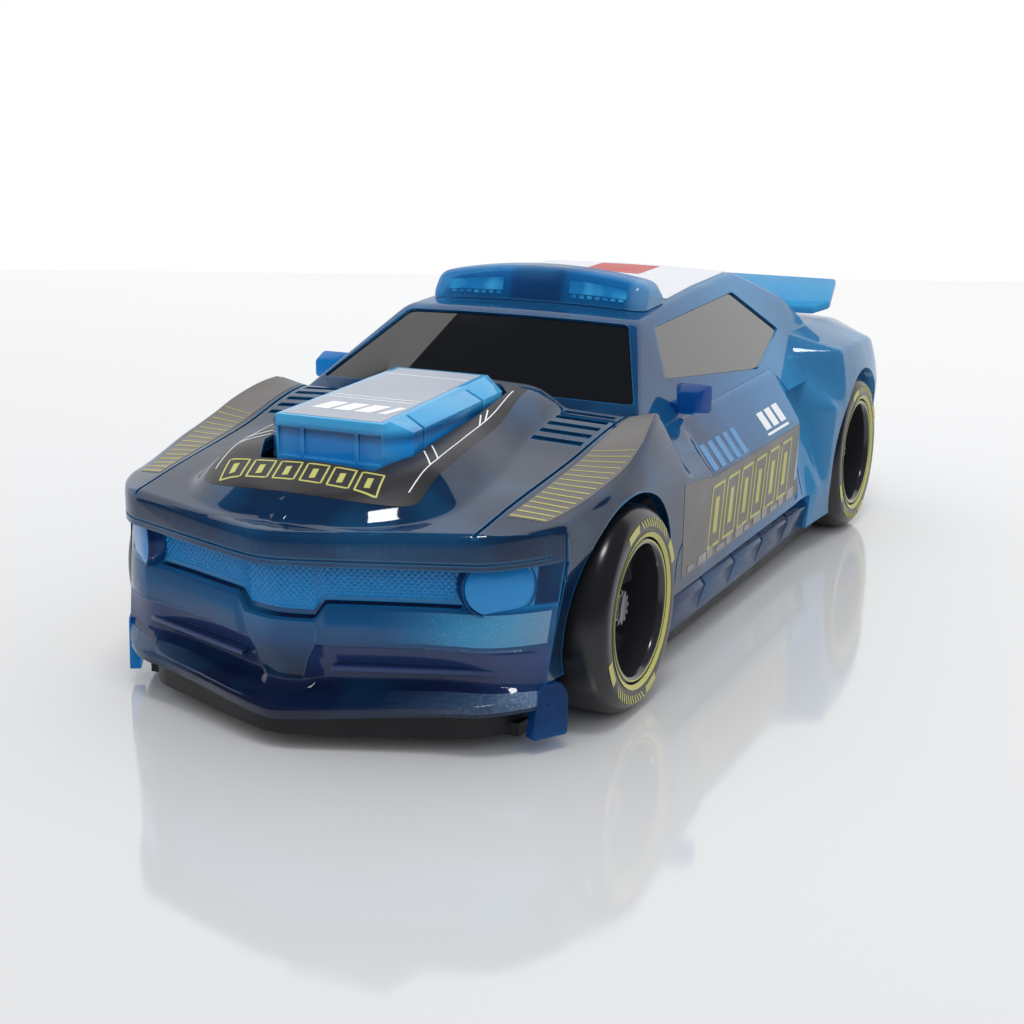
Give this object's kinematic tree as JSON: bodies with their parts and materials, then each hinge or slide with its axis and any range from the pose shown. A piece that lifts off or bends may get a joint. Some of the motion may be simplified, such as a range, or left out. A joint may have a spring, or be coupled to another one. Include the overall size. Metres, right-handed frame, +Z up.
{
  "type": "toy police car",
  "caption": "Low wide-bodied toy police car with a clear-tinted shell, roof light bar, pressable hood scoop and free-rolling wheels.",
  "frame": {"origin": "on the floor under the middle of the car's length and width", "axes": "+X to the car's left, +Y to its tail, +Z up"},
  "size_m": [0.0852, 0.2, 0.0601],
  "materials": {
    "clear_blue": "gloss clear-tinted blue moulding",
    "window_black": "gloss black",
    "reflector": "bright vapour-metallised plastic",
    "chassis_black": "fine matt black",
    "steel": "bright steel",
    "cell_jacket": "plain printed sleeve",
    "board_green": "green lacquered board",
    "wire_red": "soft insulated wire",
    "diode_clear": "clear resin",
    "switch_grey": "light grey",
    "rim_black": "gloss black",
    "tyre": "smooth rubber with a coloured ring"
  },
  "bodies": {
    "car": {"body_shell": "clear_blue", "front_bumper": "clear_blue", "window_insert": "window_black", "light_bar": "clear_blue", "light_bar_reflectors": "reflector", "mirror_left": "clear_blue", "mirror_right": "clear_blue", "rear_wing": "clear_blue", "side_skirt_left": "clear_blue", "side_skirt_right": "clear_blue", "chassis": "chassis_black", "battery_cover": "chassis_black", "battery_cover_screw": "steel", "batteries": "cell_jacket", "battery_contacts": "steel", "circuit_board": "board_green", "speaker": "chassis_black", "wiring": "wire_red", "light_diodes": "diode_clear", "push_switch": "chassis_black", "switch_case": "steel", "chassis_screws": "steel"},
    "front_wheels": {"front_axle": "steel", "rim_front_left": "rim_black", "rim_front_right": "rim_black", "tyre_front_left": "tyre", "tyre_front_right": "tyre"},
    "rear_wheels": {"rear_axle": "steel", "rim_rear_left": "rim_black", "rim_rear_right": "rim_black", "tyre_rear_left": "tyre", "tyre_rear_right": "tyre"},
    "scoop_button": {"hood_scoop": "clear_blue", "switch_plunger": "switch_grey"},
    "switch_knob": {"power_switch": "switch_grey"}
  },
  "joints": [
    {"name": "front_axle_spin", "type": "hinge", "parent": "car", "child": "front_wheels", "pos_m": [0, -0.06, 0.0161], "axis": [1, 0, 0], "continuous": true},
    {"name": "rear_axle_spin", "type": "hinge", "parent": "car", "child": "rear_wheels", "pos_m": [0, 0.067, 0.0161], "axis": [1, 0, 0], "continuous": true},
    {"name": "scoop_press", "type": "slide", "parent": "car", "child": "scoop_button", "axis": [0, 0, -1], "range_m": [0, 0.0015], "stiffness_N_per_m": 800},
    {"name": "power_switch_slide", "type": "slide", "parent": "car", "child": "switch_knob", "axis": [1, 0, 0], "range_m": [0, 0.003]}
  ]
}
